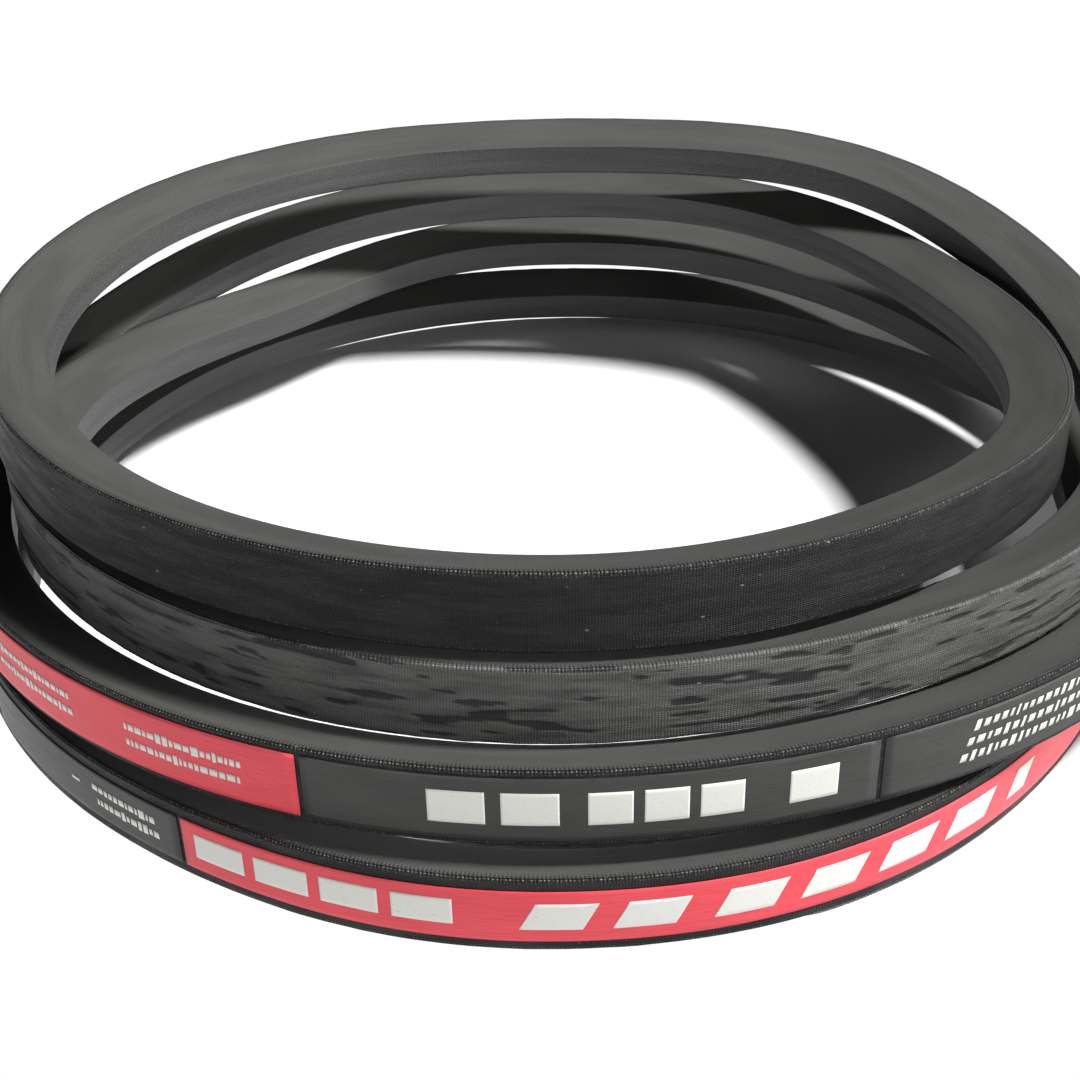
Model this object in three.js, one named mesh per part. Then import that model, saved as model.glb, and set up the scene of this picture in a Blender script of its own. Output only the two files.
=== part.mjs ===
// A wrapped narrow-section V-belt, endless, coiled in four turns for storage.
// Units are millimetres, +Z is up, and the coil lies on the plane z = 0.
//
// The belt is one closed loop. Its route is given as eight half turns, from front (-Y) by the left
// side (-X) to the rear, and back by the right side. Two neighbouring turns change places at a
// side: one climbs on the outside while the other comes down on the inside.
// A cross-section is drawn in (depth, across): depth runs inwards from the belt's wide back, and
// across runs along Z from the middle of the belt.

import * as THREE from 'three';

// ---- belt section ----
const TOP_WIDTH = 16.3;
const BELT_HEIGHT = 13;
const FLANK_ANGLE = THREE.MathUtils.degToRad(20);
const DATUM_DEPTH = 3.5;
const COVER_THICKNESS = 0.8;
const FLANK_GAP = 0.3;
const LAP_SLIT_WIDTH = 0.4;

// Corner rounding of the cover, as three points at the back and two at the base.
const BACK_CORNER = { bevel: 0.35, flatStart: 0.25, flatEnd: 0.8 };
const BASE_CORNER = { bevel: 0.45, rise: 0.45 };

// ---- layers under the cover, as depths below the back ----
const TOP_RUBBER = { from: 0.9, to: 2.2 };
const UPPER_CUSHION = { from: 2.3, to: 2.8 };
const LOWER_CUSHION = { from: 4.2, to: 4.9 };
const BASE_RUBBER = { from: 5.0, to: 12.0 };

// ---- tension cords: two cords of opposite twist, wound side by side round the whole belt ----
const CORD_RADIUS = 0.6;
const CORD_SIDES = 4;
const CORD_PITCH = 1.325;
const CORD_PASSES = 3.5;
const CORD_BAND_HALF_WIDTH = 5.3;

// ---- printed label films on the back ----
const BOTTOM_FILM_WIDTH = 10.8;
const SECOND_FILM_WIDTH = 12.8;
const FILM_THICKNESS = 0.12;
const FILM_GAP = 0.06;

// ---- coil ----
// back: outer radius at the front or rear. lift: height of the lower edge there.
// side: outer radius on the way to the next row, reached at turnAt (a share of the half turn).
// climbAt: where the change of height to the next row is half done, as the same kind of share.
const HALF_TURNS = [
  { back: 117.0, side: 122.5, turnAt: 0.67, lift: 47.2, climbAt: 0.48 },  // front, top turn
  { back: 119.0, side: 129.5, turnAt: 0.43, lift: 53.2, climbAt: 0.37 },  // rear, top turn
  { back: 120.0, side: 121.0, turnAt: 0.60, lift: 30.8, climbAt: 0.53 },  // front, third turn
  { back: 142.0, side: 128.5, turnAt: 0.48, lift: 16.9, climbAt: 0.50 },  // rear, second turn
  { back: 136.0, side: 133.5, turnAt: 0.35, lift: 0.0, climbAt: 0.50 },   // front, bottom turn
  { back: 141.5, side: 142.5, turnAt: 0.40, lift: 0.0, climbAt: 0.50 },   // rear, bottom turn
  { back: 130.5, side: 135.0, turnAt: 0.58, lift: 18.0, climbAt: 0.70 },  // front, second turn
  { back: 133.0, side: 111.5, turnAt: 0.56, lift: 35.2, climbAt: 0.70 },  // rear, third turn
];
const SIDE_PLATEAU = 0.12;
const CLIMB_HALF_LENGTH = 0.30;
const STEPS_PER_TURN = 30;
const TURNS = HALF_TURNS.length / 2;
const BELT_STEPS = TURNS * STEPS_PER_TURN;

// ---- colours ----
const COVER_BLACK = '#232426';
const RUBBER_BLACK = '#161617';
const CUSHION_GREY = '#2b2422';
const CORD_CREAM = '#d8d0b8';
const FILM_RED = '#d9334a';
const FILM_DARK = '#3a3b3d';

function ease(value) {
  return THREE.MathUtils.smootherstep(value, 0, 1);
}

// The belt's place after a number of half turns: radius of its back, height of its mid plane.
function placeAt(halfTurns) {
  const count = HALF_TURNS.length;
  const wrapped = THREE.MathUtils.euclideanModulo(halfTurns, count);
  const index = Math.floor(wrapped) % count;
  const along = wrapped - Math.floor(wrapped);
  const start = HALF_TURNS[index];
  const end = HALF_TURNS[(index + 1) % count];
  const outbound = start.turnAt - SIDE_PLATEAU;
  const inbound = start.turnAt + SIDE_PLATEAU;
  const radius = along < start.turnAt
    ? THREE.MathUtils.lerp(start.back, start.side, ease(along / outbound))
    : THREE.MathUtils.lerp(start.side, end.back, ease((along - inbound) / (1 - inbound)));
  const climb = ease((along - start.climbAt + CLIMB_HALF_LENGTH) / (2 * CLIMB_HALF_LENGTH));
  const height = THREE.MathUtils.lerp(start.lift, end.lift, climb) + TOP_WIDTH / 2;
  return { angle: halfTurns * Math.PI, radius, height };
}

// A step along the belt. Steps sit half a step off the front, so one facet faces it squarely.
function placeAtStep(step) {
  return placeAt((step + 0.5) / STEPS_PER_TURN * 2);
}

function pointAt(place, depth, across) {
  const radius = place.radius - depth;
  return [
    -radius * Math.sin(place.angle),
    -radius * Math.cos(place.angle),
    place.height + across,
  ];
}

// Between two steps the belt is straight, so a point there lies on the line between them.
function pointAtFraction(step, depth, across) {
  const before = Math.floor(step);
  const from = new THREE.Vector3(...pointAt(placeAtStep(before), depth, across));
  const to = new THREE.Vector3(...pointAt(placeAtStep(before + 1), depth, across));
  return from.lerp(to, step - before).toArray();
}

// ---- solids swept along the belt ----

// Joins rings of points into a closed body. Each ring has the same count of points, in order.
function skin(rings, isLoop) {
  const sides = rings[0].length;
  const positions = rings.flat(2);
  const indices = [];
  const bands = isLoop ? rings.length : rings.length - 1;
  for (let band = 0; band < bands; band++) {
    const here = band * sides;
    const next = ((band + 1) % rings.length) * sides;
    for (let side = 0; side < sides; side++) {
      const other = (side + 1) % sides;
      indices.push(here + side, next + side, next + other);
      indices.push(here + side, next + other, here + other);
    }
  }
  if (!isLoop) {
    const last = (rings.length - 1) * sides;
    for (let side = 1; side < sides - 1; side++) {
      indices.push(0, side, side + 1);
      indices.push(last, last + side + 1, last + side);
    }
  }
  const geometry = new THREE.BufferGeometry();
  geometry.setAttribute('position', new THREE.Float32BufferAttribute(positions, 3));
  geometry.setIndex(indices);
  geometry.computeVertexNormals();
  return geometry;
}

// A whole endless layer, from an outline of [depth, across] points.
function endlessLayer(outline) {
  const rings = [];
  for (let step = 0; step < BELT_STEPS; step++) {
    const place = placeAtStep(step);
    rings.push(outline.map(([depth, across]) => pointAt(place, depth, across)));
  }
  return skin(rings, true);
}

function flankHalfWidth(depth, inset) {
  return TOP_WIDTH / 2 - depth * Math.tan(FLANK_ANGLE) - inset / Math.cos(FLANK_ANGLE);
}

function mirrored(points) {
  return points.map(([depth, across]) => [depth, -across]).reverse();
}

// ---- sub-parts ----

// The woven jacket: a wedge-shaped tube whose two edges meet at a lap along the base.
function coverOutline() {
  const slit = LAP_SLIT_WIDTH / 2;
  const innerBase = BELT_HEIGHT - COVER_THICKNESS;
  const flatAcross = flankHalfWidth(BACK_CORNER.flatEnd, 0);
  const outerSide = [
    [BELT_HEIGHT, slit],
    [BELT_HEIGHT, flankHalfWidth(BELT_HEIGHT, 0) - BASE_CORNER.bevel],
    [BELT_HEIGHT - BASE_CORNER.rise, flankHalfWidth(BELT_HEIGHT - BASE_CORNER.rise, 0)],
    [BACK_CORNER.flatEnd, flatAcross],
    [BACK_CORNER.flatStart, flatAcross],
    [0, flatAcross - BACK_CORNER.bevel],
  ];
  const innerSide = [
    [COVER_THICKNESS, flankHalfWidth(COVER_THICKNESS, COVER_THICKNESS)],
    [innerBase, flankHalfWidth(innerBase, COVER_THICKNESS)],
    [innerBase, slit],
  ];
  return [...outerSide, ...mirrored(outerSide), ...mirrored(innerSide), ...innerSide];
}

// A rubber layer that fills the wedge between two depths.
function rubberOutline({ from, to }) {
  const inset = COVER_THICKNESS + FLANK_GAP;
  const side = [
    [to, flankHalfWidth(to, inset)],
    [from, flankHalfWidth(from, inset)],
  ];
  return [...side, ...mirrored(side)];
}

// One tension cord: it goes round the whole belt several times and drifts across it as it winds.
function cordSpiral(startAcross) {
  const rings = [];
  const steps = Math.round(CORD_PASSES * BELT_STEPS);
  for (let step = 0; step <= steps; step++) {
    const place = placeAtStep(step);
    const across = startAcross + 2 * CORD_PITCH * step / BELT_STEPS;
    const ring = [];
    for (let side = 0; side < CORD_SIDES; side++) {
      const turn = side / CORD_SIDES * 2 * Math.PI;
      const depth = DATUM_DEPTH + CORD_RADIUS * Math.cos(turn);
      ring.push(pointAt(place, depth, across + CORD_RADIUS * Math.sin(turn)));
    }
    rings.push(ring);
  }
  return skin(rings, false);
}

// A thin printed film on the back of one turn. Its ends are angles in degrees to the left of the
// front; frontIndex counts the half turns before that turn passes the front.
function labelFilm({ turn, right, left }) {
  const stepOf = (degrees) => (turn.frontIndex / 2 + degrees / 360) * STEPS_PER_TURN - 0.5;
  const first = stepOf(right);
  const last = stepOf(left);
  const stations = [first];
  for (let step = Math.floor(first) + 1; step < last; step++) stations.push(step);
  stations.push(last);
  const inner = -FILM_GAP;
  const outer = -FILM_GAP - FILM_THICKNESS;
  const half = turn.filmWidth / 2;
  const outline = [[inner, half], [outer, half], [outer, -half], [inner, -half]];
  const rings = stations.map((step) =>
    outline.map(([depth, across]) => pointAtFraction(step, depth, across)));
  return skin(rings, false);
}

// ---- assembly ----

const belt = new THREE.Group();

function add(name, geometry, color, roughness) {
  const material = new THREE.MeshStandardMaterial({ color, roughness, metalness: 0 });
  const mesh = new THREE.Mesh(geometry, material);
  mesh.name = name;
  belt.add(mesh);
  return mesh;
}

const BOTTOM_TURN = { frontIndex: 4, filmWidth: BOTTOM_FILM_WIDTH };
const SECOND_TURN = { frontIndex: 6, filmWidth: SECOND_FILM_WIDTH };
const LABELS = [
  { name: 'red_label_film', turn: BOTTOM_TURN, right: -64, left: 30.2, color: FILM_RED },
  { name: 'dark_notice_film', turn: BOTTOM_TURN, right: 30.6, left: 58, color: FILM_DARK },
  { name: 'dark_standard_film', turn: SECOND_TURN, right: -56, left: -23.8, color: FILM_DARK },
  { name: 'dark_size_film', turn: SECOND_TURN, right: -23.4, left: 19.5, color: FILM_DARK },
  { name: 'red_notice_film', turn: SECOND_TURN, right: 19.9, left: 62, color: FILM_RED },
];

const cover = add('cover_fabric', endlessLayer(coverOutline()), COVER_BLACK, 0.7);
add('top_rubber', endlessLayer(rubberOutline(TOP_RUBBER)), RUBBER_BLACK, 0.6);
add('upper_cushion_rubber', endlessLayer(rubberOutline(UPPER_CUSHION)), CUSHION_GREY, 0.6);
add('tension_cord_s_twist', cordSpiral(-CORD_BAND_HALF_WIDTH), CORD_CREAM, 0.8);
add('tension_cord_z_twist', cordSpiral(CORD_PITCH - CORD_BAND_HALF_WIDTH), CORD_CREAM, 0.8);
add('lower_cushion_rubber', endlessLayer(rubberOutline(LOWER_CUSHION)), CUSHION_GREY, 0.6);
add('base_rubber', endlessLayer(rubberOutline(BASE_RUBBER)), RUBBER_BLACK, 0.6);
for (const label of LABELS) add(label.name, labelFilm(label), label.color, 0.4);

// The frame's origin is under the middle of the coil's box, on the plane that it lies on.
const box = new THREE.Box3().setFromObject(cover);
const middle = box.getCenter(new THREE.Vector3());
belt.position.set(-middle.x, -middle.y, -box.min.z);

export default belt;
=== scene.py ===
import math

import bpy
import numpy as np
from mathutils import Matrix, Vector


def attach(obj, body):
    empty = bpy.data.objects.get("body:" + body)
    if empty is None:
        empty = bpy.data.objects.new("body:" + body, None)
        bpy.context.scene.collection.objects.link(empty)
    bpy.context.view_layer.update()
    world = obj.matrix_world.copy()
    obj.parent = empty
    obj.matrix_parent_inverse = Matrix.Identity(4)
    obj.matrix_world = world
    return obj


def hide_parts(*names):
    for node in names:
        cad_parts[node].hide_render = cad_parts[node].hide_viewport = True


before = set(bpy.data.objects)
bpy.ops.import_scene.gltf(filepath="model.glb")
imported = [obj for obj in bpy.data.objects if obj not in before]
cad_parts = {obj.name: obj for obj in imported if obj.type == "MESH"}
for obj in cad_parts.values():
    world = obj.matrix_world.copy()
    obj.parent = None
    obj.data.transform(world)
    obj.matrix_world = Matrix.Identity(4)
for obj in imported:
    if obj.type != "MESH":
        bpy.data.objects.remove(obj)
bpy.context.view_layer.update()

# A wrapped narrow-section V-belt, coiled in four turns on a pale floor.
# Lengths in this script are millimetres until metres() turns them into Blender's units.
# The belt is one closed loop, given as eight half turns: front (-Y), left (-X), rear, right.
# A cross-section is drawn as (depth, across): depth runs inwards from the wide back, across runs
# along Z from the middle of the belt.

from types import SimpleNamespace

MM = 0.001

# ---- belt section ----
TOP_WIDTH = 16.3
BELT_HEIGHT = 13.0
FLANK_ANGLE = math.radians(20)
BACK_CORNER_RADIUS = 0.75
BASE_CORNER_RADIUS = 0.6
CAD_FLAT_DEPTH = 0.8
# The jacket's lap on the base: where its edge lies across the belt, and the step down from it.
LAP_EDGE = 1.1
LAP_STEP = 0.22

# ---- under the jacket: rubber kept in from the flanks, and cords wound side by side ----
RUBBER_INSET = 1.15
CORD_RADIUS = 0.6
CORD_DEPTH = 3.5
CORD_PITCH = 1.325
CORD_PASSES = 3.5
CORD_START = -5.3
CORD_PLIES = 3
CORD_LAY = 12.0

# ---- coil: radius of the back at the front or rear, radius at the side that follows, where that
# is reached, lift of the lower edge at the front or rear, and where the next climb is half done;
# both places are shares of the half turn ----
HALF_TURNS = (
    (117.0, 122.5, 0.67, 47.2, 0.48),   # front, top turn
    (119.0, 129.5, 0.43, 53.2, 0.37),   # rear, top turn
    (120.0, 121.0, 0.60, 30.8, 0.53),   # front, third turn
    (142.0, 128.5, 0.48, 16.9, 0.50),   # rear, second turn
    (136.0, 133.5, 0.35, 0.0, 0.50),    # front, bottom turn
    (141.5, 142.5, 0.40, 0.0, 0.50),    # rear, bottom turn
    (130.5, 135.0, 0.58, 18.0, 0.70),   # front, second turn
    (133.0, 111.5, 0.56, 35.2, 0.70),   # rear, third turn
)
SIDE_PLATEAU = 0.12
CLIMB_HALF_LENGTH = 0.30
CAD_STEPS_PER_TURN = 30
ROUTE_SAMPLES = 8001
# The section rocks by this angle at most times 1.6, in two slow waves along the belt.
ROCK = math.radians(0.35)

# ---- mesh density ----
BELT_STEPS = 1440
BACK_POINTS = 21
BACK_ARC_POINTS = 5
FLANK_POINTS = 9
BASE_ARC_POINTS = 4
BASE_POINTS = 4
FILM_STEP = 2.0
FILM_POINTS = 15
SHAPE_POINTS = 25
INNER_STEPS = 720
CORD_SIDES = 12

# The jacket's mesh starts here, in half turns. Its material changes at the two depths.
SEAM_AT = 3.4
BACK_ZONE_DEPTH = 0.62
BASE_ZONE_DEPTH = BELT_HEIGHT - 0.5

# ---- label films: the turn is named by the half turns before it passes the front ----
FILM_GAP = 0.06
FILM_THICKNESS = 0.12
INK_THICKNESS = 0.04
SMALL_PRINT_GAP = 0.4
SMALL_PRINT_HEIGHT = 1.5
SMALL_PRINT_HEIGHTS = (0.9, 1.0, 1.0, 1.4)
DASH_LENGTHS = (0.5, 1.7)
INK_GAP = 0.02
BOTTOM = SimpleNamespace(front=4, film_width=10.8)
SECOND = SimpleNamespace(front=6, film_width=12.8)
# node, turn, right end and left end in degrees left of the front, material slot
LABELS = (
    ("red_label_film", BOTTOM, -64, 30.2, "film_red"),
    ("dark_notice_film", BOTTOM, 30.6, 58, "film_dark"),
    ("dark_standard_film", SECOND, -56, -23.8, "film_dark"),
    ("dark_size_film", SECOND, -23.4, 19.5, "film_dark"),
    ("red_notice_film", SECOND, 19.9, 62, "film_red"),
)
THIRD_FRONT = 2

# ---- weave of the jacket, and of its two corners ----
WEAVE_PITCH = 0.62
CORNER_PITCH = 0.95
CORNER_LEAN = 0.9

# ---- camera in millimetres and degrees; floor and lights in metres, apart from FLOOR_Z ----
CAMERA_DISTANCE = 385.63
CAMERA_ELEVATION = 30.48
CAMERA_ROLL = -0.907
CAMERA_LENS = 53.33
CAMERA_SENSOR = 36.0
CAMERA_SHIFT = (-0.0198, 0.00144)
FLOOR_Z = -0.25
WORLD_STRENGTH = 0.015
BACKDROP_STRENGTH = 1.02
LIT_FLOOR_RADIUS = 0.1365
FLOOR_RADIUS = 3.0
FLOOR_CORNERS = 64
LIGHTS_AIM = (0, 0, 0.03)
# name, place, size, power, colour
LIGHTS = (
    ("key_from_the_right", (1.70, -0.10, 2.70), (0.5, 0.5), 178.0, (1.0, 1.0, 0.99)),
    ("front_right_fill", (1.90, -0.95, 0.45), (1.0, 0.4), 27.0, (1.0, 1.0, 1.0)),
    ("front_left_fill", (-1.20, -1.90, 0.50), (1.2, 0.5), 12.0, (1.0, 1.0, 1.0)),
)

SEED = 7


# ======================================================================================
# The belt's route
# ======================================================================================

def ease(value):
    x = np.clip(value, 0.0, 1.0)
    return x * x * x * (10 - 15 * x + 6 * x * x)


def place(half_turns):
    """Radius of the back and height of the mid plane, after a number of half turns."""
    t = np.mod(np.asarray(half_turns, float), len(HALF_TURNS))
    index = np.floor(t).astype(int) % len(HALF_TURNS)
    along = t - np.floor(t)
    table = np.array(HALF_TURNS)
    back, side, turn_at, lift, climb_at = np.moveaxis(table[index], -1, 0)
    next_back, _, _, next_lift, _ = np.moveaxis(table[(index + 1) % len(HALF_TURNS)], -1, 0)
    outbound = ease(along / (turn_at - SIDE_PLATEAU))
    inbound = ease((along - turn_at - SIDE_PLATEAU) / (1 - turn_at - SIDE_PLATEAU))
    radius = np.where(along < turn_at, back + (side - back) * outbound,
                      side + (next_back - side) * inbound)
    climb = ease((along - climb_at + CLIMB_HALF_LENGTH) / (2 * CLIMB_HALF_LENGTH))
    height = lift + (next_lift - lift) * climb + TOP_WIDTH / 2
    return radius, height


def cad_origin_shift():
    """The shift that puts the CAD coil's box over the origin, worked out from its facets."""
    steps = np.arange(len(HALF_TURNS) // 2 * CAD_STEPS_PER_TURN)
    t = (steps + 0.5) / CAD_STEPS_PER_TURN * 2
    radius, height = place(t)
    x, y = -radius * np.sin(t * math.pi), -radius * np.cos(t * math.pi)
    flat = TOP_WIDTH / 2 - CAD_FLAT_DEPTH * math.tan(FLANK_ANGLE)
    return np.array([
        -(x.min() + x.max()) / 2,
        -(y.min() + y.max()) / 2,
        -(height.min() - flat),
    ])


SHIFT = cad_origin_shift()


def route_table():
    """Length along the back at many places, so that textures keep their scale."""
    t = np.linspace(0, len(HALF_TURNS), ROUTE_SAMPLES)
    radius, height = place(t)
    points = np.stack([-radius * np.sin(t * math.pi), -radius * np.cos(t * math.pi), height], -1)
    steps = np.linalg.norm(np.diff(points, axis=0), axis=1)
    return t, np.concatenate([[0], np.cumsum(steps)])


ROUTE_T, ROUTE_LENGTH = route_table()
BELT_LENGTH = ROUTE_LENGTH[-1]


def length_at(half_turns):
    laps = np.floor(np.asarray(half_turns) / len(HALF_TURNS))
    inside = np.asarray(half_turns) - laps * len(HALF_TURNS)
    return laps * BELT_LENGTH + np.interp(inside, ROUTE_T, ROUTE_LENGTH)


def lay(half_turns, depth, across):
    """Points of the belt in metres, in the row frame. The section rocks a little as it goes."""
    radius, height = place(half_turns)
    phase = np.asarray(half_turns) * math.pi
    rock = ROCK * (np.sin(phase * 1.25 + 0.6) + 0.6 * np.sin(phase * 2.75 + 2.0))
    centre = BELT_HEIGHT / 2
    d = centre + (depth - centre) * np.cos(rock) - across * np.sin(rock)
    a = (depth - centre) * np.sin(rock) + across * np.cos(rock)
    r = radius - d
    xyz = np.stack([-r * np.sin(phase), -r * np.cos(phase), height + a], -1)
    return (xyz + SHIFT) * MM



# ======================================================================================
# Surface relief
# ======================================================================================

RELIEF_SPAN = 70.0


class Relief:
    """Smooth random relief over the belt's surface, stretched along it, that closes on itself."""

    def __init__(self, seed, cell_along, cell_across):
        self.count_along = max(3, round(BELT_LENGTH / cell_along))
        self.count_across = max(3, round(RELIEF_SPAN / cell_across))
        self.cell_across = cell_across
        shape = (self.count_along, self.count_across)
        self.values = np.random.default_rng(seed).random(shape)

    def __call__(self, along, across):
        x = np.asarray(along) / BELT_LENGTH * self.count_along
        y = np.asarray(across) / self.cell_across + self.count_across / 2
        x, y = np.broadcast_arrays(x, y)
        ix, iy = np.floor(x).astype(int), np.floor(y).astype(int)
        fx, fy = ease(x - ix), ease(y - iy)
        v = self.values
        nx, ny = self.count_along, self.count_across
        low = v[ix % nx, iy % ny] * (1 - fx) + v[(ix + 1) % nx, iy % ny] * fx
        high = v[ix % nx, (iy + 1) % ny] * (1 - fx) + v[(ix + 1) % nx, (iy + 1) % ny] * fx
        return low * (1 - fy) + high * fy


SCALES = Relief(SEED, 8.5, 1.15)
SCALES_FINE = Relief(SEED + 1, 4.0, 0.8)
BROAD = Relief(SEED + 2, 45.0, 6.0)
EDGE_RIPPLE = Relief(SEED + 3, 3.2, 1.5)
SCALE_HEIGHT = 0.30
CREASE_START = 0.14
CREASE_SPAN = 0.10
CREASE_DEPTH = 0.28
BROAD_HEIGHT = 0.10
FLANK_WAVE_HEIGHT = 0.12
RIPPLE_HEIGHT = 0.13
RIPPLE_FROM = 6.2


def wave_strength(half_turns):
    """How strongly the jacket is wrinkled: most on the third turn, least under the label films."""
    t = np.mod(half_turns, len(HALF_TURNS))
    third = np.exp(-((t - THIRD_FRONT) / 0.62) ** 2)
    labelled = np.exp(-((t - BOTTOM.front) / 0.6) ** 4) + np.exp(-((t - SECOND.front) / 0.6) ** 4)
    return 0.35 + 0.65 * third - 0.25 * labelled


def painted_sheen(half_turns):
    """Where sheen is painted into the back's colour: the third turn's front, and the top turn's
    right, where the light from the right falls.
    """
    count = len(HALF_TURNS)
    third = np.mod(half_turns - THIRD_FRONT + count / 2, count) - count / 2
    top = np.mod(half_turns + 0.42 + count / 2, count) - count / 2
    return np.exp(-(third / 0.75) ** 2) + 0.25 * np.exp(-(top / 0.15) ** 2)


def wrinkles(half_turns, across):
    """Swells of the jacket, and the short lens-shaped dents between them, 1 in a full dent."""
    along = length_at(half_turns)
    scales = 0.72 * SCALES(along, across) + 0.28 * SCALES_FINE(along, across) - 0.5
    creases = ease((scales - CREASE_START) / CREASE_SPAN)
    return scales, creases * wave_strength(half_turns)


def back_relief(half_turns, across):
    """How far the back stands out, from its swells, dents and broad waves."""
    along = length_at(half_turns)
    scales, creases = wrinkles(half_turns, across)
    swell = scales * SCALE_HEIGHT * wave_strength(half_turns)
    return swell - creases * CREASE_DEPTH + (BROAD(along, across) - 0.5) * BROAD_HEIGHT


# ======================================================================================
# Section outline
# ======================================================================================

def arc(centre, radius, start, end, count):
    angles = np.radians(np.linspace(start, end, count))
    return [(centre[0] - radius * math.cos(a), centre[1] + radius * math.sin(a)) for a in angles]


def half_outline():
    """From the middle of the back, round one flank, to the middle of the base."""
    tilt = math.degrees(FLANK_ANGLE)
    half_top = TOP_WIDTH / 2
    half_base = half_top - BELT_HEIGHT * math.tan(FLANK_ANGLE)
    r = BACK_CORNER_RADIUS
    back_end = half_top - r / math.tan(math.radians(90 - tilt) / 2)
    back_arc = arc((r, back_end), r, 0, 90 + tilt, BACK_ARC_POINTS + 2)
    q = BASE_CORNER_RADIUS
    base_end = half_base - q * math.tan(math.radians(90 - tilt) / 2)
    base_arc = arc((BELT_HEIGHT - q, base_end), q, 90 + tilt, 180, BASE_ARC_POINTS + 2)
    back = [(0.0, a) for a in np.linspace(0, back_end, BACK_POINTS, endpoint=False)]
    (d0, a0), (d1, a1) = back_arc[-1], base_arc[0]
    share = np.linspace(0, 1, FLANK_POINTS + 2)[1:-1]
    flank = [(d0 + (d1 - d0) * k, a0 + (a1 - a0) * k) for k in share]
    base = [(BELT_HEIGHT, a) for a in np.linspace(base_end, 0, BASE_POINTS + 1)[1:]]
    return back + back_arc + flank + base_arc + base


def full_outline():
    half = half_outline()
    other = [(d, -a) for d, a in half[1:-1]][::-1]
    return np.array(half + other)


def outline_normals(outline):
    tangent = np.roll(outline, -1, 0) - np.roll(outline, 1, 0)
    normal = np.stack([-tangent[:, 1], tangent[:, 0]], -1)
    return normal / np.linalg.norm(normal, axis=1)[:, None]


def girth(outline):
    """Distance round the section to each point, and last back to the first point again."""
    steps = np.linalg.norm(np.diff(outline, axis=0, append=outline[:1]), axis=1)
    return np.concatenate([[0], np.cumsum(steps)])


# ======================================================================================
# Meshes
# ======================================================================================

def mesh_object(name, parts, materials, attributes=()):
    """One object from parts: lists of (points, faces, material index, uvs)."""
    points = np.concatenate([p[0] for p in parts])
    offsets = np.cumsum([0] + [len(p[0]) for p in parts[:-1]])
    faces = np.concatenate([p[1] + offset for p, offset in zip(parts, offsets)])
    index = np.concatenate([p[2] for p in parts])
    uvs = np.concatenate([p[3] for p in parts])
    mesh = bpy.data.meshes.new(name)
    mesh.from_pydata(points.tolist(), [], faces.tolist())
    for material in materials:
        mesh.materials.append(material)
    mesh.polygons.foreach_set("material_index", index.astype(np.int32))
    mesh.polygons.foreach_set("use_smooth", np.ones(len(faces), bool))
    layer = mesh.uv_layers.new(name="belt")
    layer.data.foreach_set("uv", uvs.reshape(-1).astype(np.float32))
    for label, values in dict(attributes).items():
        attribute = mesh.attributes.new(label, "FLOAT", "POINT")
        attribute.data.foreach_set("value", values.reshape(-1).astype(np.float32))
    mesh.update()
    obj = bpy.data.objects.new(name, mesh)
    bpy.context.scene.collection.objects.link(obj)
    return obj


def corner_uvs(u0, u1, v0, v1):
    corners = [np.stack([u, v], -1) for u, v in ((u0, v0), (u1, v0), (u1, v1), (u0, v1))]
    return np.stack(corners, 1) * MM


def band_faces(rings, sides, is_loop):
    bands = rings if is_loop else rings - 1
    i, j = (k.ravel() for k in np.meshgrid(np.arange(bands), np.arange(sides), indexing="ij"))
    ni, nj = (i + 1) % rings, (j + 1) % sides
    faces = np.stack([i * sides + j, ni * sides + j, ni * sides + nj, i * sides + nj], -1)
    return faces, i, j


def end_fan(sides):
    """Four-sided faces that fill an even ring of points."""
    pairs = np.arange(sides // 2 - 1)
    return np.stack([pairs, pairs + 1, sides - 2 - pairs, sides - 1 - pairs], -1)


def endless_part(grid, along, v0, v1, material_of_side):
    rings, sides = grid.shape[:2]
    faces, i, j = band_faces(rings, sides, True)
    ends = np.append(along[1:], along[0] + BELT_LENGTH)
    uvs = corner_uvs(along[i], ends[i], v0[j], v1[j])
    return grid.reshape(-1, 3), faces, material_of_side[j], uvs


def sheet_part(grid, along, across):
    """A closed thin sheet: each row runs over the outer face and back over the inner face."""
    rings, sides = grid.shape[:2]
    faces, i, j = band_faces(rings, sides, False)
    nj = (j + 1) % sides
    uvs = corner_uvs(along[i], along[i + 1], across[i, j], across[i, nj])
    start = end_fan(sides)
    last = start[:, ::-1] + (rings - 1) * sides
    cap_uvs = np.concatenate([
        np.stack([np.full(start.shape, along[0]), across[0][start]], -1),
        np.stack([np.full(start.shape, along[-1]), across[-1][start[:, ::-1]]], -1)]) * MM
    faces = np.concatenate([faces, start, last])
    uvs = np.concatenate([uvs, cap_uvs])
    return grid.reshape(-1, 3), faces, np.zeros(len(faces), int), uvs


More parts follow.
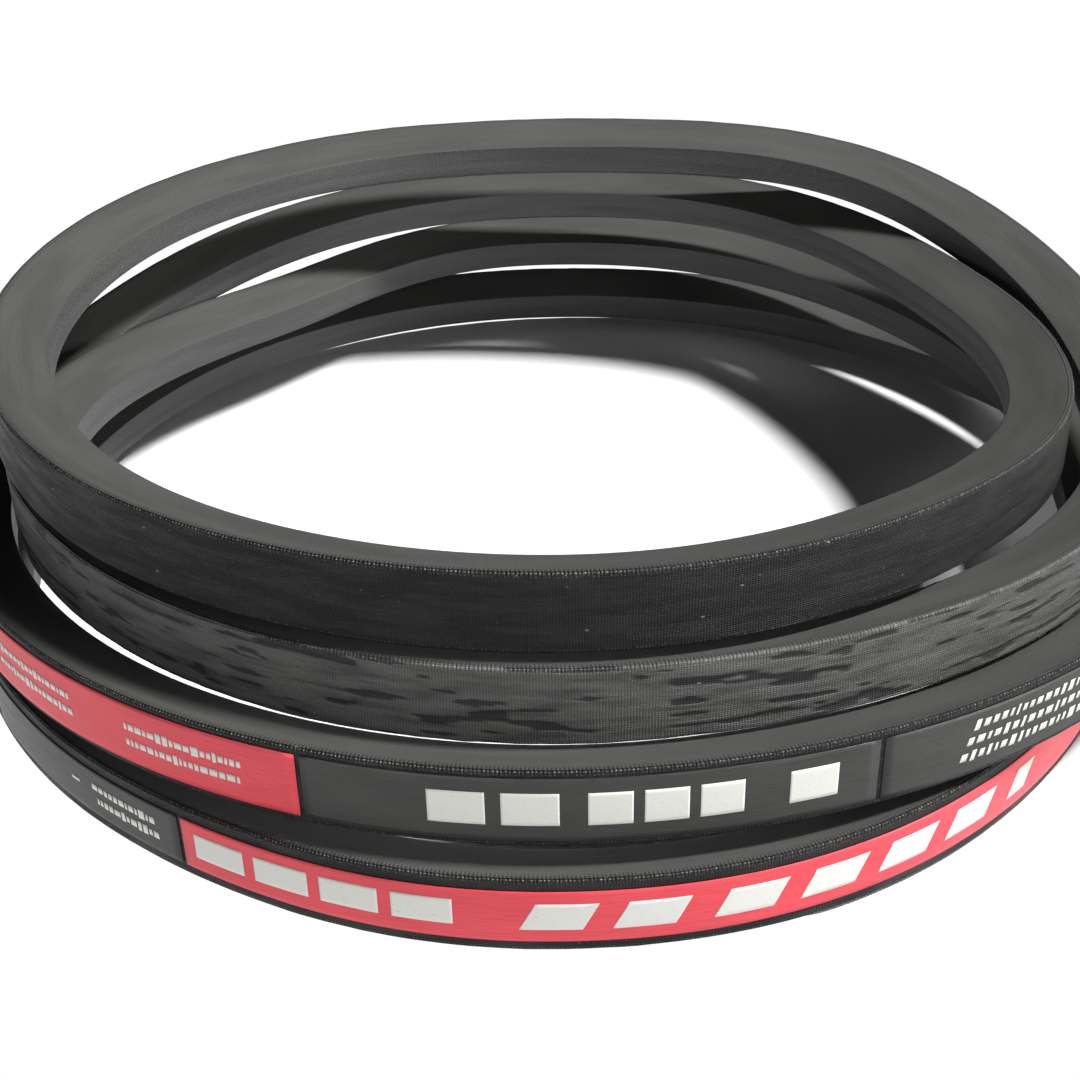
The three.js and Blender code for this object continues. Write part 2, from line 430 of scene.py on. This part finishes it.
def build_cover(materials):
    outline = full_outline()
    normals = outline_normals(outline)
    walked = girth(outline)
    v0, v1 = walked[:-1], walked[1:]
    lower = np.arange(len(outline)) >= len(outline) // 2
    v0, v1 = v0 - lower * walked[-1], v1 - lower * walked[-1]
    t = (SEAM_AT + np.linspace(0, len(HALF_TURNS), BELT_STEPS, endpoint=False))[:, None]
    depth, across = outline[None, :, 0], outline[None, :, 1]
    flat_across = across
    on_back = np.clip(-normals[None, :, 0], 0, 1) ** 2
    along = length_at(t)
    relief = back_relief(t, across)
    on_corner = np.exp(-((depth - 0.5) / 0.6) ** 2) * (np.abs(across) > RIPPLE_FROM)
    lift = relief * on_back
    lift = lift + (EDGE_RIPPLE(along, across) - 0.5) * RIPPLE_HEIGHT * on_corner
    lift = lift + (BROAD(along, across + depth) - 0.5) * FLANK_WAVE_HEIGHT * (1 - on_back)
    lapped = (depth > BELT_HEIGHT - 0.1) & (across > -LAP_EDGE)
    lift = lift - LAP_STEP * lapped
    depth = depth + normals[None, :, 0] * lift
    across = across + normals[None, :, 1] * lift
    grid = lay(t + 0 * depth, depth, across)
    middle = (outline[:, 0] + np.roll(outline[:, 0], -1)) / 2
    zone = np.where(middle < BACK_ZONE_DEPTH, 0, np.where(middle > BASE_ZONE_DEPTH, 2, 1))
    part = endless_part(grid, along.ravel(), v0, v1, zone)
    # The second attribute marks where sheen is painted into the back's colour.
    attributes = {"crease": wrinkles(t, flat_across)[1], "painted_sheen": painted_sheen(t) + 0 * flat_across}
    return mesh_object("cover_jacket", [part], materials, attributes)


def flank_half_width(depth, inset):
    return TOP_WIDTH / 2 - depth * math.tan(FLANK_ANGLE) - inset / math.cos(FLANK_ANGLE)


def swept_layer(name, outline, material):
    """A closed layer inside the jacket, swept round the whole belt."""
    outline = np.array(outline)
    t = np.linspace(0, len(HALF_TURNS), INNER_STEPS, endpoint=False)[:, None]
    grid = lay(t + 0 * outline[None, :, 0], outline[None, :, 0], outline[None, :, 1])
    walked = girth(outline)
    part = endless_part(grid, length_at(t).ravel(), walked[:-1], walked[1:],
                        np.zeros(len(outline), int))
    return mesh_object(name, [part], [material])


def build_rubber(name, start, end, material):
    low, high = flank_half_width(end, RUBBER_INSET), flank_half_width(start, RUBBER_INSET)
    return swept_layer(name, [(end, low), (start, high), (start, -high), (end, -low)], material)


def build_cord(name, start_across, twist, material):
    """A round cord of three plies, wound several times round the belt, drifting across it."""
    count = round(CORD_PASSES * INNER_STEPS)
    step = np.arange(count + 1)
    t = (step / INNER_STEPS * len(HALF_TURNS))[:, None]
    angles = np.linspace(0, 2 * math.pi, CORD_SIDES, endpoint=False)[None, :]
    lay_angle = twist * 2 * math.pi * length_at(t) / CORD_LAY
    radius = CORD_RADIUS * (0.9 + 0.1 * np.cos(CORD_PLIES * (angles - lay_angle)))
    middle = start_across + 2 * CORD_PITCH * (step / INNER_STEPS)[:, None]
    grid = lay(t + 0 * angles, CORD_DEPTH + radius * np.cos(angles), middle + radius * np.sin(angles))
    rings, sides = grid.shape[:2]
    faces, i, j = band_faces(rings, sides, False)
    along = length_at(t).ravel()
    rise = np.arange(sides + 1) * 2 * math.pi * CORD_RADIUS / sides
    uvs = corner_uvs(along[i], along[i + 1], rise[j], rise[j + 1])
    part = (grid.reshape(-1, 3), faces, np.zeros(len(faces), int), uvs)
    return mesh_object(name, [part, *cord_ends(grid)], [material])


def cord_ends(grid):
    """The two cut ends of a cord."""
    fan = end_fan(grid.shape[1])
    for ring, faces in ((grid[0], fan), (grid[-1], fan[:, ::-1])):
        yield ring, faces, np.zeros(len(faces), int), np.zeros((len(faces), 4, 2))


def build_sheet(front, degrees, low, high, count, gap, thickness):
    """A sheet on the back between two edges that may change along it. Angles go leftwards."""
    t = (front + degrees / 180)[:, None]
    across = low[:, None] + (high - low)[:, None] * np.linspace(0, 1, count)[None, :]
    relief = back_relief(t, across)
    depth = np.concatenate([-gap - thickness - relief, (-gap - relief)[:, ::-1]], 1)
    across = np.concatenate([across, across[:, ::-1]], 1)
    grid = lay(t + 0 * depth, depth, across)
    return sheet_part(grid, length_at(t.ravel()), across)


def build_film(name, turn, right, left, material):
    radius = place(turn.front)[0]
    count = max(4, round(float(radius) * math.radians(left - right) / FILM_STEP))
    degrees = np.linspace(right, left, count)
    edge = np.full(count, turn.film_width / 2)
    wander = (BROAD(length_at(turn.front + degrees / 180), 3.0) - 0.5) * 0.5
    part = build_sheet(turn.front, degrees, wander - edge, wander + edge, FILM_POINTS,
                       FILM_GAP, FILM_THICKNESS)
    return mesh_object(name, [part], [material])


# ======================================================================================
# Printed marks: plain shapes, each a thin layer of ink on a film. A shape is three arrays:
# x to the right along the belt from its middle, and its low and high edge there.
# ======================================================================================

def bar(length, height, slant=0.0):
    """A plain block, leaning by a share of its height if it is slanted."""
    lean = slant * height
    xs = np.linspace(-(length + lean) / 2, (length + lean) / 2, SHAPE_POINTS)
    half = height / 2
    if slant == 0:
        return xs, np.full_like(xs, -half), np.full_like(xs, half)
    low = np.clip((xs - length / 2) / slant, -half, half)
    high = np.clip((xs + length / 2) / slant, -half, half)
    return xs, low, high


def ink(turn, degrees, across, shape):
    xs, low, high = shape
    radius = float(place(turn.front + degrees / 180)[0])
    angles = (degrees - np.degrees(xs / radius))[::-1]
    low, high = low[::-1] + across, high[::-1] + across
    high = np.maximum(high, low + 0.01)
    count = max(3, round(float((high - low).max()) / 0.7) + 1)
    return build_sheet(turn.front, angles, low, high, count,
                       FILM_GAP + FILM_THICKNESS + INK_GAP, INK_THICKNESS)


def ink_row(turn, start, across, shapes, gap):
    """Shapes one after another, to the right from an angle."""
    parts, at = [], start
    radius = float(place(turn.front + start / 180)[0])
    for shape in shapes:
        width = shape[0][-1] - shape[0][0]
        parts.append(ink(turn, at - math.degrees(width / 2 / radius), across, shape))
        at -= math.degrees((width + gap) / radius)
    return parts


def dashes(rng, total, slant=0.0):
    """A line of small print, as plain dashes."""
    shapes, used = [], 0.0
    while used < total:
        length = rng.uniform(*DASH_LENGTHS)
        height = SMALL_PRINT_HEIGHT * rng.choice(SMALL_PRINT_HEIGHTS)
        shapes.append(bar(length, height, slant))
        used += length + SMALL_PRINT_GAP
    return shapes


def build_print(material):
    """All ink, one object for each film. A row starts at an angle left of the front."""
    rng = np.random.default_rng(SEED + 10)
    upright, slanted, short = bar(10.6, 5.4), bar(10.6, 5.6, 0.5), bar(5.5, 5.6, 0.5)
    block_gap = 2.2
    red = ink_row(BOTTOM, 29.0, 0.3, [upright] * 4, block_gap)
    red += ink_row(BOTTOM, 3.4, 0.0, [slanted] * 2, block_gap)
    red += ink_row(BOTTOM, -10.4, 0.0, [slanted] * 4, block_gap)
    red += ink_row(BOTTOM, -37.6, 0.0, [short], block_gap)
    notice = ink_row(BOTTOM, 40.4, 1.5, dashes(rng, 16.5), SMALL_PRINT_GAP)
    notice += ink_row(BOTTOM, 40.0, -1.6, dashes(rng, 16.5), SMALL_PRINT_GAP)
    notice += ink_row(BOTTOM, 43.2, 0.6, [bar(2.4, 0.7)], block_gap)
    size = ink_row(SECOND, 10.0, 0.2, [bar(9.6, 6.6)] * 2, 2.6)
    size += ink_row(SECOND, -1.6, 0.2, [bar(7.4, 6.6)] * 3, 1.85)
    size += ink_row(SECOND, -16.4, 0.2, [bar(8.6, 6.6)], block_gap)
    standard = []
    for across in (3.2, 0.0, -3.2):
        standard += ink_row(SECOND, -31.0 - across * 0.15, across, dashes(rng, 52, slant=0.25),
                            SMALL_PRINT_GAP)
    free = []
    for start in (35.4, 52.6):
        for across in (1.7, -1.7):
            free += ink_row(SECOND, start, across, dashes(rng, 25), SMALL_PRINT_GAP)
    groups = {"red_label": red, "dark_notice": notice, "dark_size": size,
              "dark_standard": standard, "red_notice": free}
    return [mesh_object("print_on_" + name, parts, [material]) for name, parts in groups.items()]


# ======================================================================================
# Materials
# ======================================================================================

class Shader:
    """A small helper that writes a node tree. Numbers or sockets may be given as inputs."""

    def __init__(self, name, roughness, specular, color=(0.5, 0.5, 0.5, 1)):
        self.material = bpy.data.materials.new(name)
        self.material.use_nodes = True
        self.tree = self.material.node_tree
        self.surface = self.tree.nodes["Principled BSDF"]
        self.surface.inputs["Base Color"].default_value = color
        self.surface.inputs["Roughness"].default_value = roughness
        self.surface.inputs["Specular IOR Level"].default_value = specular

    def node(self, kind, inputs=(), out=0, **settings):
        made = self.tree.nodes.new(kind)
        for key, value in settings.items():
            setattr(made, key, value)
        for key, value in dict(inputs).items():
            if isinstance(value, bpy.types.NodeSocket):
                self.tree.links.new(value, made.inputs[key])
            else:
                made.inputs[key].default_value = value
        return made.outputs[out]

    def math(self, operation, a, b=0.0):
        return self.node("ShaderNodeMath", {0: a, 1: b}, operation=operation)

    def add(self, a, b):
        return self.math("ADD", a, b)

    def mul(self, a, b):
        return self.math("MULTIPLY", a, b)

    def range(self, value, low, high, to_low=0.0, to_high=1.0):
        limits = {"From Min": low, "From Max": high, "To Min": to_low, "To Max": to_high}
        return self.node("ShaderNodeMapRange", {"Value": value, **limits},
                         interpolation_type="SMOOTHSTEP")

    def mix(self, factor, a, b):
        made = self.tree.nodes.new("ShaderNodeMix")
        made.data_type = "RGBA"
        for key, value in ((0, factor), (6, a), (7, b)):
            if isinstance(value, bpy.types.NodeSocket):
                self.tree.links.new(value, made.inputs[key])
            else:
                made.inputs[key].default_value = value
        return made.outputs[2]

    def uv_mm(self):
        uv = self.node("ShaderNodeUVMap", uv_map="belt")
        scaled = self.node("ShaderNodeVectorMath", {0: uv, 3: 1000.0}, operation="SCALE")
        split = self.tree.nodes.new("ShaderNodeSeparateXYZ")
        self.tree.links.new(scaled, split.inputs[0])
        return split.outputs[0], split.outputs[1]

    def stretched(self, u, v, size_u, size_v):
        return self.node("ShaderNodeCombineXYZ", {0: self.math("DIVIDE", u, size_u),
                                                  1: self.math("DIVIDE", v, size_v)})

    def noise(self, vector, detail=2.0, roughness=0.5, scale=1.0):
        return self.node("ShaderNodeTexNoise", {"Vector": vector, "Scale": scale, "Detail": detail,
                                                "Roughness": roughness})

    def weave(self, u, v, pitch, lean=1.0):
        """Threads crossing on the bias: +1 on the crowns, -1 in the pits."""
        rate = 2 * math.pi / pitch / math.sqrt(1 + lean * lean)
        p = self.mul(self.add(self.mul(u, lean), v), rate)
        q = self.mul(self.add(self.mul(u, lean), self.mul(v, -1.0)), rate)
        return self.mul(self.math("SINE", p), self.math("SINE", q))

    def finish(self, color, roughness, height):
        """Link the surface up. The height is in millimetres."""
        self.tree.links.new(color, self.surface.inputs["Base Color"])
        if roughness is not None:
            self.tree.links.new(roughness, self.surface.inputs["Roughness"])
        bump = self.node("ShaderNodeBump", {"Height": height, "Distance": MM, "Strength": 1.0})
        self.tree.links.new(bump, self.surface.inputs["Normal"])
        return self.material


def grey(value, tint=(1, 1, 1)):
    return tuple(value * k for k in tint) + (1.0,)


def back_material():
    s = Shader("woven_back", 0.6, 0.3)
    u, v = s.uv_mm()
    crease = s.node("ShaderNodeAttribute", attribute_name="crease", out=2)
    painted_sheen_mask = s.node("ShaderNodeAttribute", attribute_name="painted_sheen", out=2)
    wobble = s.mul(s.add(s.noise(s.stretched(u, v, 9.0, 3.0), 2.0), -0.5), 0.5)
    threads = s.weave(s.add(u, wobble), s.add(v, s.mul(wobble, 0.5)), WEAVE_PITCH, 0.75)
    speckle = s.noise(s.stretched(u, v, 0.55, 0.40), 1.0, 0.6)
    patches = s.noise(s.stretched(u, v, 16.0, 2.4), 3.0, 0.55)
    streaks = s.noise(s.stretched(u, v, 7.0, 0.5), 2.0, 0.6)
    lint = s.noise(s.stretched(u, v, 1.6, 0.7), 0.0, 0.5)
    crowns = s.range(threads, 0.15, 0.85)
    lit = s.mul(crowns, s.range(speckle, 0.50, 0.72))
    corner = s.range(s.math("ABSOLUTE", v), 6.6, 7.6)
    base = s.mix(s.range(patches, 0.40, 0.62), grey(0.005), grey(0.012, (1, 1, 0.97)))
    # Painted sheen: the back is lightened to grey in patches, as if it reflected light.
    painted_sheen_patches = s.mul(painted_sheen_mask, s.range(patches, 0.30, 0.60, 0.5, 1.0))
    base = s.mix(painted_sheen_patches, base, grey(0.11, (1, 1, 0.97)))
    base = s.mix(s.mul(s.range(streaks, 0.55, 0.75), 0.30), base, grey(0.006))
    # Painted glints: thread crowns lightened as if catching light, more where sheen is painted.
    base = s.mix(s.mul(lit, s.add(s.mul(painted_sheen_mask, 0.6), 0.25)), base, grey(0.16, (1, 1, 0.96)))
    # Painted shade: the dents are darkened, partly also as less dust lies in them.
    base = s.mix(s.range(crease, 0.15, 0.75, 0.0, 0.75), base, grey(0.005))
    zigzag = s.weave(u, v, CORNER_PITCH, CORNER_LEAN)
    # Lighter zigzag specks along the back's two corners.
    corner_specks = s.mul(s.mul(corner, s.range(zigzag, 0.25, 0.8)), s.range(speckle, 0.42, 0.62))
    base = s.mix(s.mul(corner_specks, 0.8), base, grey(0.22, (1, 1, 0.95)))
    base = s.mix(s.mul(s.range(lint, 0.86, 0.88), 0.6), base, grey(0.30, (1, 0.98, 0.85)))
    height = s.add(s.mul(threads, 0.06), s.mul(speckle, 0.10))
    height = s.add(height, s.mul(streaks, 0.10))
    height = s.add(height, s.mul(s.mul(corner, zigzag), 0.12))
    rough = s.add(s.mul(speckle, 0.2), s.range(patches, 0.40, 0.62, 0.52, 0.38))
    return s.finish(base, rough, height)


def flank_material():
    s = Shader("dusty_flank_painted_sheen", 0.6, 0.35)
    u, v = s.uv_mm()
    cloud = s.noise(s.stretched(u, v, 40.0, 6.0), 2.0, 0.5)
    grain = s.noise(s.stretched(u, v, 0.5, 0.35), 2.0, 0.6)
    streaks = s.noise(s.stretched(u, v, 18.0, 0.6), 2.0, 0.55)
    speck = s.noise(s.stretched(u, v, 1.3, 1.0), 1.0, 0.5)
    side = s.math("ABSOLUTE", v)
    edge = s.range(side, 9.6, 8.6)
    # The flank's grey is partly dust and partly painted sheen: lighter than the back, as grazing
    # light makes it look.
    color = s.mix(s.range(cloud, 0.35, 0.65), grey(0.054, (1, 1, 0.95)), grey(0.067, (1, 1, 0.95)))
    color = s.mix(s.mul(s.range(streaks, 0.5, 0.72), 0.15), color, grey(0.035))
    color = s.mix(s.mul(s.range(grain, 0.45, 0.65), 0.16), color, grey(0.10, (1, 1, 0.96)))
    color = s.mix(s.mul(s.range(speck, 0.72, 0.80), 0.25), color, grey(0.14))
    zigzag = s.weave(u, v, CORNER_PITCH, CORNER_LEAN)
    color = s.mix(s.mul(edge, s.range(zigzag, -0.2, 0.6, 0.25, 0.75)), color, grey(0.03))
    height = s.add(s.mul(grain, 0.05), s.mul(streaks, 0.04))
    height = s.add(height, s.mul(s.mul(edge, zigzag), 0.10))
    rough = s.range(grain, 0.3, 0.7, 0.50, 0.68)
    return s.finish(color, rough, height)


def base_material():
    s = Shader("pressed_base", 0.55, 0.35)
    u, v = s.uv_mm()
    cloud = s.noise(s.stretched(u, v, 45.0, 4.0), 2.0, 0.5)
    grain = s.noise(s.stretched(u, v, 0.5, 0.35), 2.0, 0.6)
    threads = s.weave(u, v, 0.8, 1.0)
    color = s.mix(s.range(cloud, 0.35, 0.65), grey(0.046), grey(0.057, (1, 1, 0.98)))
    color = s.mix(s.mul(s.range(grain, 0.45, 0.7), 0.18), color, grey(0.11))
    height = s.add(s.mul(grain, 0.05), s.mul(threads, 0.025))
    rough = s.range(grain, 0.3, 0.7, 0.48, 0.66)
    return s.finish(color, rough, height)


def film_material(name, dark, light, specular):
    s = Shader(name, 0.4, specular)
    u, v = s.uv_mm()
    streaks = s.noise(s.stretched(u, v, 9.0, 0.35), 3.0, 0.6)
    creases = s.noise(s.stretched(u, v, 3.5, 0.22), 2.0, 0.6)
    cloud = s.noise(s.stretched(u, v, 18.0, 6.0), 2.0, 0.5)
    amount = s.add(s.mul(s.range(streaks, 0.35, 0.65), 0.6), s.mul(s.range(cloud, 0.3, 0.7), 0.4))
    color = s.mix(amount, dark, light)
    shade = tuple(0.4 * k for k in dark[:3]) + (1,)
    color = s.mix(s.mul(s.range(creases, 0.62, 0.74), 0.4), color, shade)
    height = s.add(s.mul(streaks, 0.05), s.mul(creases, 0.06))
    rough = s.range(streaks, 0.3, 0.7, 0.34, 0.5)
    return s.finish(color, rough, height)


def ink_material():
    s = Shader("white_ink", 0.5, 0.3)
    u, v = s.uv_mm()
    wear = s.noise(s.stretched(u, v, 0.9, 0.25), 3.0, 0.65)
    color = s.mix(s.range(wear, 0.58, 0.78), grey(0.72, (1, 1, 0.94)), grey(0.42, (1, 1, 0.92)))
    return s.finish(color, None, s.mul(wear, 0.03))


def inner_material(name, tone, tint, grain_mm, roughness):
    """For the layers under the jacket: moulded rubber, or twisted cord."""
    s = Shader(name, roughness, 0.3)
    object_place = s.node("ShaderNodeTexCoord", out=3)
    grain = s.noise(object_place, 3.0, 0.6, 1.0 / (grain_mm * MM))
    color = s.mix(s.range(grain, 0.35, 0.65), grey(tone * 0.8, tint), grey(tone * 1.2, tint))
    return s.finish(color, None, s.mul(grain, 0.08))


# ======================================================================================
# The object
# ======================================================================================

back, flank, base = back_material(), flank_material(), base_material()
film_red = film_material("red_film", (0.68, 0.052, 0.074, 1), (0.84, 0.075, 0.098, 1), 0.35)
film_dark = film_material("dark_film", (0.030, 0.030, 0.029, 1), (0.050, 0.050, 0.047, 1), 0.35)

cover = build_cover([back, flank, base])
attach(cover, "root")
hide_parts("cover_fabric")

for node, turn, right, left, slot in LABELS:
    material = {"film_red": film_red, "film_dark": film_dark}[slot]
    film = build_film(node.replace("_film", "_sheet"), turn, right, left, material)
    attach(film, "root")
    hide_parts(node)

for marks in build_print(ink_material()):
    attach(marks, "root")

RUBBER_TINT, CUSHION_TINT, CORD_TINT = (1, 1, 1), (1, 0.85, 0.75), (1, 0.95, 0.8)
# node, material slot, depths below the back, tone, tint
LAYERS = (
    ("top_rubber", "rubber", 0.95, 2.2, 0.012, RUBBER_TINT),
    ("upper_cushion_rubber", "cushion", 2.3, 2.8, 0.020, CUSHION_TINT),
    ("lower_cushion_rubber", "cushion", 4.2, 4.9, 0.020, CUSHION_TINT),
    ("base_rubber", "rubber", 5.0, 11.9, 0.014, RUBBER_TINT),
)
for node, slot, start, end, tone, tint in LAYERS:
    finish = inner_material(node + "_finish", tone, tint, 1.5, 0.6)
    layer = build_rubber(node + "_layer", start, end, finish)
    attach(layer, "root")
    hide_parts(node)

for node, start, twist in (("tension_cord_s_twist", CORD_START, 1),
                           ("tension_cord_z_twist", CORD_START + CORD_PITCH, -1)):
    finish = inner_material(node + "_finish", 0.6, CORD_TINT, 0.4, 0.8)
    cord = build_cord(node + "_cord", start, twist, finish)
    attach(cord, "root")
    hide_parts(node)


# ======================================================================================
# Floor, light and camera
# ======================================================================================

def build_floor():
    """A white table: plain paper inside the coil, where shadows show, and a white glow around it."""
    corners = FLOOR_CORNERS
    turns = np.linspace(0, 2 * math.pi, corners, endpoint=False)
    ring = np.stack([np.cos(turns), np.sin(turns), 0 * turns], -1)
    points = np.concatenate([ring * LIT_FLOOR_RADIUS, ring * FLOOR_RADIUS]) + (0, 0, FLOOR_Z * MM)
    here = np.arange(corners)
    there = (here + 1) % corners
    around = np.stack([here, here + corners, there + corners, there], -1).tolist()
    mesh = bpy.data.meshes.new("floor")
    mesh.from_pydata(points.tolist(), [], [here.tolist()] + around)
    paper = Shader("floor_paper", 0.9, 0.1, (0.86, 0.86, 0.86, 1))
    glow = Shader("floor_glow", 0.9, 0.0, (0, 0, 0, 1))
    glow.surface.inputs["Emission Color"].default_value = (1, 1, 1, 1)
    glow.surface.inputs["Emission Strength"].default_value = BACKDROP_STRENGTH
    for material in (paper.material, glow.material):
        mesh.materials.append(material)
    mesh.polygons.foreach_set("material_index", np.array([0] + [1] * corners, np.int32))
    obj = bpy.data.objects.new("floor", mesh)
    bpy.context.scene.collection.objects.link(obj)


def aim(obj, location, target):
    direction = Vector(target) - Vector(location)
    obj.location = location
    obj.rotation_euler = direction.to_track_quat("-Z", "Y").to_euler()


def add_light(name, location, size, power, color):
    data = bpy.data.lights.new(name, "AREA")
    data.shape = "RECTANGLE"
    data.size, data.size_y = size
    data.energy = power
    data.color = color
    obj = bpy.data.objects.new(name, data)
    bpy.context.scene.collection.objects.link(obj)
    aim(obj, location, LIGHTS_AIM)


def build_world(lighting, seen):
    """A white room that lights the belt by one strength and looks as bright as the other."""
    world = bpy.data.worlds.new("studio")
    world.use_nodes = True
    tree = world.node_tree
    tree.nodes["Background"].inputs["Color"].default_value = (1, 1, 1, 1)
    rays = tree.nodes.new("ShaderNodeLightPath")
    strength = tree.nodes.new("ShaderNodeMapRange")
    strength.inputs["To Min"].default_value = lighting
    strength.inputs["To Max"].default_value = seen
    tree.links.new(rays.outputs["Is Camera Ray"], strength.inputs["Value"])
    tree.links.new(strength.outputs["Result"], tree.nodes["Background"].inputs["Strength"])
    bpy.context.scene.world = world


def build_camera():
    data = bpy.data.cameras.new("camera")
    data.lens = CAMERA_LENS
    data.sensor_width = CAMERA_SENSOR
    data.shift_x, data.shift_y = CAMERA_SHIFT
    data.clip_start, data.clip_end = 0.01, 20
    obj = bpy.data.objects.new("camera", data)
    bpy.context.scene.collection.objects.link(obj)
    target = Vector(SHIFT * MM)
    up_angle, roll = math.radians(CAMERA_ELEVATION), math.radians(CAMERA_ROLL)
    backward = Vector((0, -math.cos(up_angle), math.sin(up_angle)))
    level, rise = Vector((1, 0, 0)), backward.cross(Vector((1, 0, 0)))
    right = math.cos(roll) * level + math.sin(roll) * rise
    up = backward.cross(right)
    turn = Matrix((right, up, backward)).transposed().to_4x4()
    obj.matrix_world = Matrix.Translation(target + backward * CAMERA_DISTANCE * MM) @ turn
    bpy.context.scene.camera = obj


build_floor()
build_world(WORLD_STRENGTH, BACKDROP_STRENGTH)
for light in LIGHTS:
    add_light(*light)
build_camera()
bpy.context.scene.view_settings.view_transform = "Standard"
